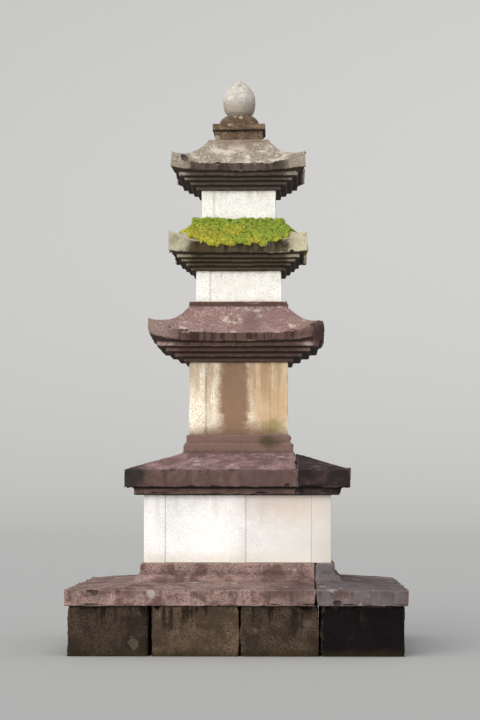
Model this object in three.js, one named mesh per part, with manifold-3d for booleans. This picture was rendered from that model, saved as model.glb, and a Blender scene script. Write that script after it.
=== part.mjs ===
// Three-storey stone pagoda on a two-tier platform, as separate stones stacked face to face.
// Millimetres, +Z up. The origin is on the ground under the middle, and the front faces -Y.

import * as THREE from 'three';
import { mergeVertices } from 'three/addons/utils/BufferGeometryUtils.js';
import Module from 'manifold-3d';

const wasm = await Module();
wasm.setup();

// Lower platform: a course of stones round a hollow middle, and four cap slabs on it
const COURSE_WIDTH = 2190;
const COURSE_HEIGHT = 324;
const CORNER_STONE_LONG = 556;
const CORNER_STONE_SHORT = 540;
const MIDDLE_STONE_DEPTH = 360;
const MIDDLE_STONE_SPLIT = 0.53;
const LOWER_CAP_WIDTH = 2230;
const LOWER_CAP_EDGE = 104;
const LOWER_CAP_RISE = 42;
const LOWER_CAP_DEPTH = 600;

// Moulding on the lower cap that carries the walls: a round step below a square step
const ROUND_STEP_WIDTH = 1390;
const ROUND_STEP_RADIUS = 44;
const SQUARE_STEP_HEIGHT = 72;

// Upper platform: four wall slabs with pilasters in low relief
const WALL_WIDTH = 1248;
const WALL_HEIGHT = 451;
const WALL_THICKNESS = 130;
const WALL_CORNER_PILASTER = 142;
const WALL_MIDDLE_PILASTER = 110;
const WALL_RELIEF = 9;

// Upper cap: a recessed fillet, a thick edge, a sloping top and the two steps that carry the body
const UPPER_CAP_WIDTH = 1504;
const UPPER_CAP_FILLET = 50;
const UPPER_CAP_FILLET_WIDTH = 1380;
const UPPER_CAP_EDGE = 122;
const UPPER_CAP_RISE = 116;
const UPPER_CAP_JOINT = 390;
const BODY_STEP_WIDTHS = [752, 712];
const BODY_STEP_HEIGHT = 60;

// Storeys, from the first up: the body block, and the roof stone with its corbels and eaves.
// Towards its corners the eave's top rises by `lift`, and its underside by `underLift`.
const STOREYS = [
  {
    body: { width: 676, height: 494, pilaster: 114 },
    roof: { width: 1206, corbels: 126, edge: 66, rise: 190, top: 676, step: 33, lift: 96, underLift: 56 },
  },
  {
    body: { width: 586, height: 214, pilaster: 96 },
    roof: { width: 946, corbels: 104, edge: 80, rise: 143, top: 590, step: 30, lift: 80, underLift: 12 },
  },
  {
    body: { width: 512, height: 201, pilaster: 86 },
    roof: { width: 926, corbels: 108, edge: 60, rise: 176, top: 430, step: 16, lift: 86, underLift: 32 },
  },
];
const BODY_RELIEF = 8;
const CORBEL_STEPS = 4;
const CORBEL_START = 34;
const EAVE_OVERHANG = 56;
const CORNER_FLARE_SHARE = 0.3;
const LIFT_POWER = 4;
const SLOPE_RINGS = 6;
const SLOPE_HOLLOW = 0.45;
const SIDE_STEPS = 8;

// Broken front right corner of the first roof
const BREAK_REACH = 140;
const BREAK_TURN = 0.62;
const BREAK_LEAN = 0.3;

// Finial: a square dew-basin block with a rim, an upturned bowl, and the jewel
const BASIN_WIDTH = 336;
const BASIN_HEIGHT = 68;
const BASIN_RIM_WIDTH = 368;
const BASIN_RIM_HEIGHT = 47;
const BOWL_DIAMETER = 288;
const BOWL_TOP_DIAMETER = 174;
const BOWL_HEIGHT = 76;
const JEWEL_DIAMETER = 236;
const JEWEL_HEIGHT = 260;
const JEWEL_FOOT = 154;
const JEWEL_BELLY = 0.42;
const JEWEL_POINT = 0.72;
const FINIAL_SIDES = 32;

// How far a cutting solid runs past the faces that it cuts through
const OVERRUN = 1;

// Heights of the faces that the stones share
const courseTop = COURSE_HEIGHT;
const lowerCapTop = courseTop + LOWER_CAP_EDGE + LOWER_CAP_RISE;
const wallFoot = lowerCapTop + ROUND_STEP_RADIUS + SQUARE_STEP_HEIGHT;
const wallTop = wallFoot + WALL_HEIGHT;
const upperCapTop = wallTop + UPPER_CAP_FILLET + UPPER_CAP_EDGE + UPPER_CAP_RISE;
const firstBodyFoot = upperCapTop + BODY_STEP_WIDTHS.length * BODY_STEP_HEIGHT;

// Sides in the order that quarter turns about +Z bring them round
const SIDES = ['front', 'right', 'back', 'left'];
const QUARTER = Math.PI / 2;

const pagoda = new THREE.Group();
pagoda.name = 'stone_pagoda';

// Finishes, with the colour that each group of stones shows
function stone(color, roughness = 0.95) {
  return new THREE.MeshStandardMaterial({ color, roughness, metalness: 0 });
}
const darkStone = stone('#4a3c36');
const capStone = stone('#8f7369');
const whiteStone = stone('#eeeae4', 0.85);
const creamStone = stone('#d8c3a4');
const paleStone = stone('#d4d2c6');
const roofStone = stone('#97806f');
const finialStone = stone('#6b5d4b');
const jewelStone = stone('#dad6d4', 0.85);

// A solid for cutting and joining, from a closed geometry
function solidOf(geometry) {
  const bare = geometry.clone();
  bare.deleteAttribute('normal');
  bare.deleteAttribute('uv');
  const merged = mergeVertices(bare);
  return new wasm.Manifold(new wasm.Mesh({
    numProp: 3,
    vertProperties: new Float32Array(merged.attributes.position.array),
    triVerts: new Uint32Array(merged.index.array),
  }));
}

// A geometry from a cut or joined solid
function geometryOf(solid) {
  const mesh = solid.getMesh();
  const geometry = new THREE.BufferGeometry();
  geometry.setAttribute('position', new THREE.BufferAttribute(new Float32Array(mesh.vertProperties), 3));
  geometry.setIndex(Array.from(mesh.triVerts));
  return geometry;
}

// A box between two corners, as a solid
function boxSolid(low, high) {
  const size = high.map((value, axis) => value - low[axis]);
  const geometry = new THREE.BoxGeometry(...size);
  geometry.translate(...low.map((value, axis) => value + size[axis] / 2));
  return solidOf(geometry);
}

// The same solid turned about +Z by a number of quarter turns
function turned(solid, quarters) {
  return solid.rotate([0, 0, 90 * quarters]);
}

// Adds one named stone to the pagoda
function addStone(name, geometry, material) {
  const mesh = new THREE.Mesh(geometry, material);
  mesh.name = name;
  pagoda.add(mesh);
}

// The points round a square, where the corners may rise by `lift` and reach out by `flare`
function squareRing({ width, z, lift = 0, flare = 0 }, sideSteps) {
  const ring = [];
  for (let side = 0; side < SIDES.length; side += 1) {
    const turn = side * QUARTER;
    for (let step = 0; step < sideSteps; step += 1) {
      const along = (2 * step) / sideSteps - 1;
      const corner = Math.abs(along) ** LIFT_POWER;
      const reach = width / 2 + flare * corner;
      const point = new THREE.Vector3(along * reach, -reach, z + lift * corner);
      ring.push(point.applyAxisAngle(new THREE.Vector3(0, 0, 1), turn));
    }
  }
  return ring;
}

// The sections of a flight of square steps, each with its own width and all of one height
function steps(widths, foot, height) {
  return widths.flatMap((width, index) => [
    { width, z: foot + index * height },
    { width, z: foot + (index + 1) * height },
  ]);
}

// A closed square solid through rings listed from the lowest up, with flat ends
function squareLoft(sections, sideSteps = 1) {
  const rings = sections.map((section) => squareRing(section, sideSteps));
  const count = rings[0].length;
  const positions = rings.flat().flatMap((point) => point.toArray());
  const triangles = [];
  for (let level = 0; level + 1 < rings.length; level += 1) {
    for (let step = 0; step < count; step += 1) {
      const low = level * count + step;
      const lowNext = level * count + ((step + 1) % count);
      triangles.push(low, lowNext, lowNext + count, low, lowNext + count, low + count);
    }
  }
  const lowest = rings.length * count;
  const highest = lowest + 1;
  positions.push(0, 0, sections[0].z, 0, 0, sections.at(-1).z);
  for (let step = 0; step < count; step += 1) {
    const next = (step + 1) % count;
    const last = (rings.length - 1) * count;
    triangles.push(lowest, next, step, highest, last + step, last + next);
  }
  const geometry = new THREE.BufferGeometry();
  geometry.setAttribute('position', new THREE.BufferAttribute(new Float32Array(positions), 3));
  geometry.setIndex(triangles);
  return geometry;
}

// Corner stones of the lower course, each longer on the side where it is at the right
function addCornerStones() {
  const half = COURSE_WIDTH / 2;
  const corner = boxSolid(
    [half - CORNER_STONE_LONG, -half, 0],
    [half, -half + CORNER_STONE_SHORT, COURSE_HEIGHT],
  );
  const names = ['front_right', 'back_right', 'back_left', 'front_left'];
  names.forEach((name, quarter) => {
    addStone(`course_corner_${name}`, geometryOf(turned(corner, quarter)), darkStone);
  });
}

// Two stones of the lower course between the corner stones of each side
function addMiddleStones() {
  const half = COURSE_WIDTH / 2;
  const start = -half + CORNER_STONE_SHORT;
  const end = half - CORNER_STONE_LONG;
  const split = start + (end - start) * MIDDLE_STONE_SPLIT;
  const inner = -half + MIDDLE_STONE_DEPTH;
  const first = boxSolid([start, -half, 0], [split, inner, COURSE_HEIGHT]);
  const second = boxSolid([split, -half, 0], [end, inner, COURSE_HEIGHT]);
  SIDES.forEach((side, quarter) => {
    addStone(`course_${side}_a`, geometryOf(turned(first, quarter)), darkStone);
    addStone(`course_${side}_b`, geometryOf(turned(second, quarter)), darkStone);
  });
}

// Four cap slabs laid round the middle, each with its length of the moulding on top
function addLowerCap() {
  const edgeTop = courseTop + LOWER_CAP_EDGE;
  const sections = [
    { width: LOWER_CAP_WIDTH, z: courseTop },
    { width: LOWER_CAP_WIDTH, z: edgeTop },
    { width: ROUND_STEP_WIDTH, z: lowerCapTop },
  ];
  const arcSteps = 4;
  for (let step = 1; step <= arcSteps; step += 1) {
    const angle = (step / arcSteps) * QUARTER;
    const inward = ROUND_STEP_RADIUS * (1 - Math.cos(angle));
    sections.push({
      width: ROUND_STEP_WIDTH - 2 * inward,
      z: lowerCapTop + ROUND_STEP_RADIUS * Math.sin(angle),
    });
  }
  sections.push({ width: ROUND_STEP_WIDTH - 2 * ROUND_STEP_RADIUS, z: wallFoot });
  const whole = solidOf(squareLoft(sections));
  const half = LOWER_CAP_WIDTH / 2;
  const inner = half - LOWER_CAP_DEPTH;
  const reach = boxSolid([-half, -half, courseTop], [inner, -inner, wallFoot]);
  SIDES.forEach((side, quarter) => {
    addStone(`lower_cap_${side}`, geometryOf(whole.intersect(turned(reach, quarter))), capStone);
  });
}

// Takes panels out of the front of a square solid and out of its three other sides
function recessPanels(solid, width, relief, panels, low, high) {
  let result = solid;
  panels.forEach(([start, end]) => {
    const cutter = boxSolid([start, -width / 2 - relief, low], [end, -width / 2 + relief, high]);
    for (let quarter = 0; quarter < SIDES.length; quarter += 1) {
      result = result.subtract(turned(cutter, quarter));
    }
  });
  return result;
}

// Four wall slabs laid round the middle, with corner and middle pilasters
function addWalls() {
  const half = WALL_WIDTH / 2;
  const pier = WALL_MIDDLE_PILASTER / 2;
  const block = solidOf(squareLoft([{ width: WALL_WIDTH, z: wallFoot }, { width: WALL_WIDTH, z: wallTop }]));
  const panels = [[-half + WALL_CORNER_PILASTER, -pier], [pier, half - WALL_CORNER_PILASTER]];
  const carved = recessPanels(block, WALL_WIDTH, WALL_RELIEF, panels, wallFoot - OVERRUN, wallTop + OVERRUN);
  const reach = boxSolid([-half, -half, wallFoot], [half - WALL_THICKNESS, -half + WALL_THICKNESS, wallTop]);
  SIDES.forEach((side, quarter) => {
    addStone(`wall_${side}`, geometryOf(carved.intersect(turned(reach, quarter))), whiteStone);
  });
}

// Two cap slabs side by side; the wider one carries the steps for the first body
function addUpperCap() {
  const filletTop = wallTop + UPPER_CAP_FILLET;
  const edgeTop = filletTop + UPPER_CAP_EDGE;
  const sections = [
    { width: UPPER_CAP_FILLET_WIDTH, z: wallTop },
    { width: UPPER_CAP_FILLET_WIDTH, z: filletTop },
    { width: UPPER_CAP_WIDTH, z: filletTop },
    { width: UPPER_CAP_WIDTH, z: edgeTop },
    ...steps(BODY_STEP_WIDTHS, upperCapTop, BODY_STEP_HEIGHT),
  ];
  const whole = solidOf(squareLoft(sections));
  const half = UPPER_CAP_WIDTH / 2;
  const main = boxSolid([-half, -half, wallTop], [UPPER_CAP_JOINT, half, firstBodyFoot]);
  const narrow = boxSolid([UPPER_CAP_JOINT, -half, wallTop], [half, half, firstBodyFoot]);
  addStone('upper_cap_main', geometryOf(whole.intersect(main)), capStone);
  addStone('upper_cap_right', geometryOf(whole.intersect(narrow)), capStone);
}

// One body block with corner pilasters left standing round four shallow panels
function bodyGeometry({ width, height, pilaster }, foot) {
  const block = solidOf(squareLoft([{ width, z: foot }, { width, z: foot + height }]));
  const panels = [[-width / 2 + pilaster, width / 2 - pilaster]];
  const carved = recessPanels(block, width, BODY_RELIEF, panels, foot - OVERRUN, foot + height + OVERRUN);
  return geometryOf(carved);
}

// One roof stone: corbel steps, the eaves with raised corners, the hollow slope and its top step
function roofGeometry({ width, corbels, edge, rise, top, step, lift, underLift }, bodyWidth, foot) {
  const firstCorbel = bodyWidth + 2 * CORBEL_START;
  const lastCorbel = width - 2 * EAVE_OVERHANG;
  const corbelWidths = Array.from({ length: CORBEL_STEPS }, (_, index) => (
    THREE.MathUtils.lerp(firstCorbel, lastCorbel, index / (CORBEL_STEPS - 1))
  ));
  const sections = steps(corbelWidths, foot, corbels / CORBEL_STEPS);
  const eaveFoot = foot + corbels;
  const flare = lift * CORNER_FLARE_SHARE;
  sections.push({ width: width - 2 * flare, z: eaveFoot, lift: underLift, flare });
  for (let index = 0; index <= SLOPE_RINGS; index += 1) {
    const up = index / SLOPE_RINGS;
    const fade = (1 - up) ** 2;
    sections.push({
      width: THREE.MathUtils.lerp(width - 2 * flare, top, up),
      z: eaveFoot + edge + rise * ((1 - SLOPE_HOLLOW) * up + SLOPE_HOLLOW * up ** 2),
      lift: lift * fade,
      flare: flare * fade,
    });
  }
  sections.push({ width: top, z: eaveFoot + edge + rise + step });
  return squareLoft(sections, SIDE_STEPS);
}

// The same roof with its front right corner broken off on a slanting face
function breakCorner(geometry, width, foot) {
  const size = width / 2;
  const wedge = new THREE.BoxGeometry(size, size, size);
  wedge.translate(size / 2, 0, 0);
  wedge.rotateY(BREAK_LEAN);
  wedge.rotateZ(-BREAK_TURN);
  wedge.translate(width / 2 - BREAK_REACH * Math.cos(BREAK_TURN), -width / 2, foot);
  return geometryOf(solidOf(geometry).subtract(solidOf(wedge)));
}

// Bodies and roofs, one above the other; returns the height of the last roof's top
function addStoreys() {
  const names = ['first', 'second', 'third'];
  const bodyStones = [creamStone, paleStone, paleStone];
  let foot = firstBodyFoot;
  STOREYS.forEach(({ body, roof }, index) => {
    addStone(`${names[index]}_body`, bodyGeometry(body, foot), bodyStones[index]);
    foot += body.height;
    const whole = roofGeometry(roof, body.width, foot);
    const eaves = foot + roof.corbels + roof.edge / 2;
    addStone(`${names[index]}_roof`, index === 0 ? breakCorner(whole, roof.width, eaves) : whole, roofStone);
    foot += roof.corbels + roof.edge + roof.rise + roof.step;
  });
  return foot;
}

// The dew-basin block on the last roof
function addBasin(foot) {
  const rimFoot = foot + BASIN_HEIGHT;
  const rimTop = rimFoot + BASIN_RIM_HEIGHT;
  addStone('finial_base', squareLoft([
    { width: BASIN_WIDTH, z: foot },
    { width: BASIN_WIDTH, z: rimFoot },
    { width: BASIN_RIM_WIDTH, z: rimFoot },
    { width: BASIN_RIM_WIDTH, z: rimTop },
  ]), finialStone);
  return rimTop;
}

// A round stone turned about the middle from a profile that starts and ends on the axis
function addTurned(name, profile, foot, material) {
  const geometry = new THREE.LatheGeometry(profile, FINIAL_SIDES);
  geometry.rotateX(QUARTER);
  geometry.translate(0, 0, foot);
  addStone(name, geometryOf(solidOf(geometry)), material);
}

// The upturned bowl: a low dome cut flat where the jewel stands
function addBowl(foot) {
  const profile = [new THREE.Vector2(0, 0), new THREE.Vector2(BOWL_DIAMETER / 2, 0)];
  const rings = 8;
  for (let index = 1; index <= rings; index += 1) {
    const angle = (index / rings) * QUARTER;
    const inward = (1 - Math.cos(angle)) * (BOWL_DIAMETER - BOWL_TOP_DIAMETER) / 2;
    profile.push(new THREE.Vector2(BOWL_DIAMETER / 2 - inward, BOWL_HEIGHT * Math.sin(angle)));
  }
  profile.push(new THREE.Vector2(0, BOWL_HEIGHT));
  addTurned('finial_bowl', profile, foot, finialStone);
  return foot + BOWL_HEIGHT;
}

// The jewel's radius as a share of its greatest, at a share `up` of its height
function jewelSwell(up) {
  if (up < JEWEL_BELLY) {
    const footShare = JEWEL_FOOT / JEWEL_DIAMETER;
    const below = (JEWEL_BELLY - up) / JEWEL_BELLY;
    return footShare + (1 - footShare) * Math.sqrt(1 - below ** 2);
  }
  const above = (up - JEWEL_BELLY) / (1 - JEWEL_BELLY);
  return Math.cos(QUARTER * above) ** JEWEL_POINT;
}

// The jewel: a ball that swells from a narrow foot and is drawn up to a blunt point
function addJewel(foot) {
  const profile = [new THREE.Vector2(0, 0), new THREE.Vector2(JEWEL_FOOT / 2, 0)];
  const rings = 14;
  for (let index = 1; index < rings; index += 1) {
    const up = index / rings;
    profile.push(new THREE.Vector2((JEWEL_DIAMETER / 2) * jewelSwell(up), JEWEL_HEIGHT * up));
  }
  profile.push(new THREE.Vector2(0, JEWEL_HEIGHT));
  addTurned('finial_jewel', profile, foot, jewelStone);
}

addCornerStones();
addMiddleStones();
addLowerCap();
addWalls();
addUpperCap();
const roofTop = addStoreys();
const basinTop = addBasin(roofTop);
const bowlTop = addBowl(basinTop);
addJewel(bowlTop);

export default pagoda;
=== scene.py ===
import math

import bmesh
import bpy
import numpy as np
from mathutils import Euler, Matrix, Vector, noise


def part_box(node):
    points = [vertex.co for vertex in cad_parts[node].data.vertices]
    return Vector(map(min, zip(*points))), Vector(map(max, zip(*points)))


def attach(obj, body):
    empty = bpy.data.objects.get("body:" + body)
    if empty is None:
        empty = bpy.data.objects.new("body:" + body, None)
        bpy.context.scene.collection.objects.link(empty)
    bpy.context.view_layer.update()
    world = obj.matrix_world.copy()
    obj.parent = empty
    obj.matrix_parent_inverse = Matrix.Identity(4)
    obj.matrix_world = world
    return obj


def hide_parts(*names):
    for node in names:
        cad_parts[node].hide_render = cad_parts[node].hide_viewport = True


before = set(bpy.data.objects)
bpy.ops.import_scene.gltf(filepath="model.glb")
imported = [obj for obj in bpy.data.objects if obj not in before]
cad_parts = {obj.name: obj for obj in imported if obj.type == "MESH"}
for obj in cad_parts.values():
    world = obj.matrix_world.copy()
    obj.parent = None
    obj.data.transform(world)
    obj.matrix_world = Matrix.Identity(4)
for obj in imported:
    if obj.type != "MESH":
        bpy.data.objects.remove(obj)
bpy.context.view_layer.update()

# The photograph's frame and what was read from it
PHOTO_HEIGHT_PX = 720
FOCAL_PX = 2304
CAMERA_DISTANCE = 16.0
CAMERA_ASIDE = 0.33
EYE_HEIGHT = 1.07
AIM = Vector((0.004, 0.0, 1.973))
SENSOR = 36.0

# The studio: a round floor that curves up far behind the pagoda
FLOOR_RADIUS = 40.0
SWEEP_RADIUS = 22.0
SWEEP_STEPS = 10
FLOOR_SIDES = 96
FLOOR_DROP = 0.001

# Every random draw comes from a generator seeded with SEED and a stone's number, which counts on from the
# first number of its kind. The number also shifts the patterns of its finish, by PATTERN_STEP for each.
SEED = 41
NUMBERS = {"course": 0, "lower_cap": 20, "wall": 30, "upper_cap": 40, "body": 50, "roof": 60, "finial": 70,
           "moss": 90}
PATTERN_STEP = 0.37

SIDES = ("front", "right", "back", "left")
CORNERS = ("front_right", "back_right", "back_left", "front_left")

# The roof stones as the frame holds them: full width, corbel height, eave edge and rise of the corners
ROOFS = {
    "first_roof": dict(width=1.206, corbels=0.126, edge=0.066, lift=0.096),
    "second_roof": dict(width=0.946, corbels=0.104, edge=0.080, lift=0.080),
    "third_roof": dict(width=0.926, corbels=0.108, edge=0.060, lift=0.086),
}

# How far inside a roof's width its rims break, and how far below its eaves the weather still reaches
RIM_INSET = 0.02
EAVE_SHELTER = 0.008

# Heights of the caps' edges, and of the fillet under the upper one
UPPER_CAP_FILLET = 0.050
UPPER_CAP_EDGE = 0.122
LOWER_CAP_EDGE = 0.104

# How each kind of stone has worn, in metres: the size of the remeshed faces, how far the faces wander
# and the rims break back, the fine roughness, and the rounds of smoothing that blunt the rims
WEAR = {
    "course": dict(grain=0.0145, wander=0.009, breaks=0.024, rough=0.0060, rounds=1),
    "lower_cap": dict(grain=0.0125, wander=0.005, breaks=0.018, rough=0.0035, rounds=1),
    "upper_cap": dict(grain=0.0110, wander=0.005, breaks=0.017, rough=0.0032, rounds=1),
    "body": dict(grain=0.0055, wander=0.003, breaks=0.009, rough=0.0016, rounds=1),
    "roof": dict(grain=0.0080, wander=0.004, breaks=0.014, rough=0.0030, rounds=1),
    "finial": dict(grain=0.0060, wander=0.004, breaks=0.011, rough=0.0022, rounds=2),
}

# The share of that wear on a stone's parts that are out of the weather
SHELTERED = 0.3

# Lumps that have broken off along the upper and the lower rim of an edge: how many, and between what sizes
RIM_LUMPS = {
    "lower_cap": ((16, (0.02, 0.05)), (12, (0.02, 0.045))),
    "upper_cap": ((18, (0.02, 0.045)), (14, (0.02, 0.04))),
    "roof": ((18, (0.016, 0.04)), (10, (0.014, 0.03))),
}

# How far outside a rim a lump has its middle, how far above or below a level one and how flat it is, as
# shares of its size, and how rough its broken face is and how finely so
BITE = (0.35, 0.55)
RIM_BITE = (0.3, 0.5)
RIM_SWAY = 0.3
FLATTENED = ((0.65, 1.0), (0.5, 0.85))
FRACTURE = 0.3
FRACTURE_SCALE = 45.0

# Rims and hollows are found against the same stone smoothed for so many rounds, and count in full from so
# many grains out or in
RIM_ROUNDS = 12
RIM_HEIGHT = 0.9
MARK_ROUNDS = 10
MARK_HEIGHT = 0.8

# How many grains from a stone's top or foot, and how steep a normal, still belong to its flat bearing face
LEVEL_NEAR = 0.6
LEVEL_RISE = 0.8

# Points of a node nearer together than this are one
MERGE = 1e-5
WALL_BEVEL = 0.004

# The share of a worn stone's triangles that is kept, mostly where its surface is not flat
KEPT_SHARE = 0.66


# Modelling steps

def select_only(piece):
    bpy.ops.object.select_all(action="DESELECT")
    piece.select_set(True)
    bpy.context.view_layer.objects.active = piece


def set_values(thing, values):
    for key, value in values.items():
        setattr(thing, key, value)


def new_object(name, data):
    made = bpy.data.objects.new(name, data)
    bpy.context.collection.objects.link(made)
    return made


def apply_modifier(piece, kind, **settings):
    modifier = piece.modifiers.new(kind.lower(), kind)
    set_values(modifier, settings)
    select_only(piece)
    bpy.ops.object.modifier_apply(modifier=modifier.name)


def displace(piece, texture, strength, **settings):
    """Moves a surface along its normals by one of the reliefs."""
    apply_modifier(piece, "DISPLACE", texture=RELIEF[texture], texture_coords="GLOBAL", strength=strength,
                   **settings)


def copy_of(node, name):
    """A piece of its own with a node's shape, its loose triangles merged into whole flat faces."""
    piece = new_object(name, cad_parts[node].data.copy())
    select_only(piece)
    bpy.ops.object.mode_set(mode="EDIT")
    bpy.ops.mesh.select_all(action="SELECT")
    bpy.ops.mesh.remove_doubles(threshold=MERGE)
    bpy.ops.mesh.dissolve_limited(angle_limit=math.radians(0.5))
    bpy.ops.object.mode_set(mode="OBJECT")
    return piece


def relief(name, kind="CLOUDS", **settings):
    texture = bpy.data.textures.new(name, kind)
    set_values(texture, settings)
    return texture


# What the surfaces are displaced by, with the size of its forms in metres
RELIEF = {
    "wander": relief("wander", noise_scale=0.26, noise_depth=1, contrast=1.2),
    "breaks": relief("breaks", noise_scale=0.13, noise_depth=6, contrast=3.4, intensity=0.6),
    "rough": relief("rough", noise_scale=0.014, noise_depth=4, contrast=1.8),
    "cushions": relief("cushions", "VORONOI", noise_scale=0.03, contrast=1.4),
    "swell": relief("swell", noise_scale=0.12, noise_depth=2, contrast=1.6),
    "tufts": relief("tufts", noise_scale=0.012, noise_depth=3, contrast=2.2),
}


def lumps_on_box(low, high, count, sizes, draw):
    """Places for lumps along the upright and upper rims of a box, a little way outside it."""
    lumps = []
    for _ in range(count):
        size = draw.uniform(*sizes)
        place = Vector(draw.uniform(list(low), list(high)))
        along = draw.integers(0, 3)
        for axis in range(3):
            if axis != along:
                out = 1 if axis == 2 or draw.random() < 0.5 else -1
                edge = high[axis] if out > 0 else low[axis]
                place[axis] = edge + out * size * draw.uniform(*BITE)
        lumps.append((place, size))
    return lumps


def lumps_on_rim(half, height, count, sizes, draw, lift=0.0):
    """Places for lumps along a square rim round the middle of the pagoda, whose corners rise by `lift`."""
    lumps = []
    for index in range(count):
        size = draw.uniform(*sizes)
        turn = index % 4 * math.pi / 2
        bite = half + size * draw.uniform(*RIM_BITE)
        along = draw.uniform(-1, 1)
        rim = height + lift * along ** 4
        place = Vector((along * half, -bite, rim + draw.uniform(-RIM_SWAY, RIM_SWAY) * size))
        place.rotate(Euler((0, 0, turn)))
        lumps.append((place, size))
    return lumps


def lumps_on_rims(kind, number, half, top, foot, lift=0.0):
    """Places for lumps along the upper and the lower rim of the edge of a cap or roof."""
    draw = np.random.default_rng([SEED, number, 1])
    upper, lower = RIM_LUMPS[kind]
    return lumps_on_rim(half, top, *upper, draw, lift) + lumps_on_rim(half, foot, *lower, draw)


def read_mesh(mesh):
    """A mesh's points, their normals and the two ends of its edges, as arrays."""
    count = len(mesh.vertices)
    places = np.empty(count * 3, np.float32)
    normals = np.empty(count * 3, np.float32)
    edges = np.empty(len(mesh.edges) * 2, np.int32)
    mesh.vertices.foreach_get("co", places)
    mesh.vertices.foreach_get("normal", normals)
    mesh.edges.foreach_get("vertices", edges)
    return places.reshape(-1, 3), normals.reshape(-1, 3), edges.reshape(-1, 2)


def move_points(piece, places):
    piece.data.vertices.foreach_set("co", places.ravel())
    piece.data.update()


def knock_off(piece, lumps, draw):
    """Breaks a remeshed stone back wherever a rough, flattened lump reaches into it."""
    places = read_mesh(piece.data)[0]
    for centre, size in lumps:
        turn = np.array(Euler(draw.uniform(0, math.tau, 3)).to_matrix())
        stretch = size * np.array([1.0, *(draw.uniform(*limits) for limits in FLATTENED)])
        away = (places - np.array(centre)) @ turn / stretch
        distance = np.linalg.norm(away, axis=1)
        for index in np.flatnonzero(distance < 1 + FRACTURE):
            reach = 1 + FRACTURE * noise.noise(FRACTURE_SCALE * Vector(places[index]))
            if distance[index] < reach:
                moved = away[index] * reach / distance[index] * stretch
                places[index] = np.array(centre) + turn @ moved
    move_points(piece, places)


def bulge(mesh, rounds):
    """How far each point stands out of its smoothed surroundings: above 0 on rims, below 0 in hollows."""
    places, normals, edges = read_mesh(mesh)
    ends = np.concatenate([edges, edges[:, ::-1]])
    neighbours = np.maximum(np.bincount(ends[:, 0], minlength=len(places)), 1)[:, None]
    smooth = places.copy()
    for _ in range(rounds):
        sums = [np.bincount(ends[:, 0], smooth[ends[:, 1], axis], len(places)) for axis in range(3)]
        smooth = (smooth + np.stack(sums, 1) / neighbours) / 2
    return ((places - smooth) * normals).sum(1)


def add_group(piece, name, weights):
    """A vertex group with weights in steps of a tenth."""
    group = piece.vertex_groups.new(name=name)
    levels = np.round(np.clip(weights, 0, 1) * 10).astype(int)
    for level in range(1, 11):
        group.add(np.flatnonzero(levels == level).tolist(), level / 10, "REPLACE")


def add_attribute(piece, name, values):
    values = np.broadcast_to(np.float32(values), len(piece.data.vertices)).astype(np.float32)
    piece.data.attributes.new(name, "FLOAT", "POINT").data.foreach_set("value", values)


def open_faces(piece, low, high, grain):
    """1 where a stone is open to the air, 0 on the flat faces that it rests on or carries with."""
    places, normals, _ = read_mesh(piece.data)
    level = np.minimum(abs(places[:, 2] - low.z), abs(places[:, 2] - high.z)) < LEVEL_NEAR * grain
    return 1.0 - (level & (abs(normals[:, 2]) > LEVEL_RISE))


def wear_down(piece, low, high, wear, shelter, lumps, draw):
    """Remeshes a stone finely, then blunts, breaks and roughens it without going outside its box.

    Below the height `shelter` the rims are out of the weather and have kept their edges.
    """
    grain = wear["grain"]
    apply_modifier(piece, "REMESH", mode="VOXEL", voxel_size=grain)
    apply_modifier(piece, "SMOOTH", factor=0.5, iterations=wear["rounds"])
    knock_off(piece, lumps, draw)
    bare = open_faces(piece, low, high, grain)
    bare *= np.where(read_mesh(piece.data)[0][:, 2] < shelter, SHELTERED, 1.0)
    add_group(piece, "open", bare)
    add_group(piece, "rims", bare * np.clip(bulge(piece.data, RIM_ROUNDS) / (RIM_HEIGHT * grain), 0, 1))
    for texture, weights in (("wander", "open"), ("breaks", "rims"), ("rough", "open")):
        displace(piece, texture, -wear[texture], mid_level=0.0, vertex_group=weights)
    move_points(piece, np.clip(read_mesh(piece.data)[0], np.float32(low), np.float32(high)))
    piece.vertex_groups.clear()
    out = bulge(piece.data, MARK_ROUNDS) / grain
    add_attribute(piece, "rim", np.clip(out / MARK_HEIGHT, 0, 1))
    add_attribute(piece, "hollow", np.clip(-out / MARK_HEIGHT, 0, 1))
    apply_modifier(piece, "DECIMATE", ratio=KEPT_SHARE)
    piece.data.shade_smooth()


def stand_for(piece, node, finish, number, tone=1.0):
    """Gives a piece its finish and lets it stand in for a node."""
    add_attribute(piece, "tone", tone)
    add_attribute(piece, "shift", PATTERN_STEP * number)
    piece.data.materials.clear()
    piece.data.materials.append(finish)
    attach(piece, "root")
    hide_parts(node)


def worn_stone(node, kind, finish, number, lumps=None, count=0, sizes=(0, 0), tone=1.0, shelter=0.0):
    """One weathered stone in place of a node.

    It has the given lumps knocked off its rims, or else a count of them in a range of sizes.
    """
    low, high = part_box(node)
    draw = np.random.default_rng([SEED, number])
    piece = copy_of(node, "worn_" + node)
    if lumps is None:
        lumps = lumps_on_box(low, high, count, sizes, draw)
    wear_down(piece, low, high, WEAR[kind], shelter, lumps, draw)
    stand_for(piece, node, finish, number, tone)
    return piece


# Shader nodes

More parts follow.
